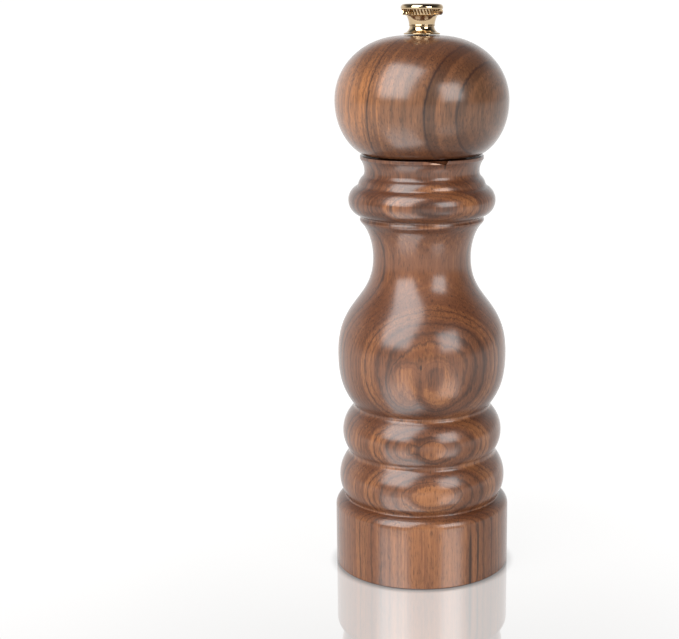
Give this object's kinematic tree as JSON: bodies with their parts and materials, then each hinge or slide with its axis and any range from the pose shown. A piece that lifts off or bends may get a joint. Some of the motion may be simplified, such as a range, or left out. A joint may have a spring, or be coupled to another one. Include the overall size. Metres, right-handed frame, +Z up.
{
  "type": "pepper mill",
  "caption": "Turned walnut pepper mill with a ball head, beaded base, square spindle, conical steel grinder and a small brass adjusting nut.",
  "frame": {"origin": "centre of the base, on the plane that the mill stands on", "axes": "+Z up along the spindle, towards the nut; +X and +Y across the mill, with the crossbar along X"},
  "size_m": [0.0562, 0.0562, 0.18],
  "materials": {
    "walnut": "satin lacquered walnut",
    "polished_brass": "polished",
    "stainless_steel": "stamped, finely brushed",
    "grinder_steel": "machined, hardened",
    "spring_steel": "drawn, bright",
    "screw_steel": "zinc plated",
    "nylon": "moulded"
  },
  "bodies": {
    "body": {"body": "walnut", "stator": "grinder_steel", "bridge": "stainless_steel", "retaining_ring": "stainless_steel", "crossbar": "stainless_steel", "ring_screw_1": "screw_steel", "ring_screw_2": "screw_steel", "ring_screw_3": "screw_steel", "crossbar_screw_1": "screw_steel", "crossbar_screw_2": "screw_steel"},
    "bush": {"spindle_bush": "nylon", "spring": "spring_steel"},
    "spindle": {"spindle": "stainless_steel", "rotor": "grinder_steel", "rotor_clip": "spring_steel", "spring_seat": "stainless_steel"},
    "head": {"head": "walnut", "drive_plate": "stainless_steel", "drive_plate_screw_1": "screw_steel", "drive_plate_screw_2": "screw_steel", "drive_plate_screw_3": "screw_steel"},
    "nut": {"adjusting_nut": "polished_brass"}
  },
  "joints": [
    {"name": "grind_turn", "type": "hinge", "parent": "body", "child": "bush", "pos_m": [0, 0, 0.028], "axis": [0, 0, 1], "continuous": true},
    {"name": "grind_adjust", "type": "slide", "parent": "bush", "child": "spindle", "axis": [0, 0, 1], "range_m": [-0.0016, 0], "deforming": ["spring"]},
    {"name": "head_lift", "type": "slide", "parent": "bush", "child": "head", "axis": [0, 0, 1], "range_m": [0, 0.06]},
    {"name": "nut_turn", "type": "hinge", "parent": "head", "child": "nut", "pos_m": [0, 0, 0.175], "axis": [0, 0, 1], "range_deg": [0, 720]}
  ],
  "couplings": [
    {"joint": "nut_turn", "follows": "grind_adjust", "rad_per_m": -7853.9}
  ]
}
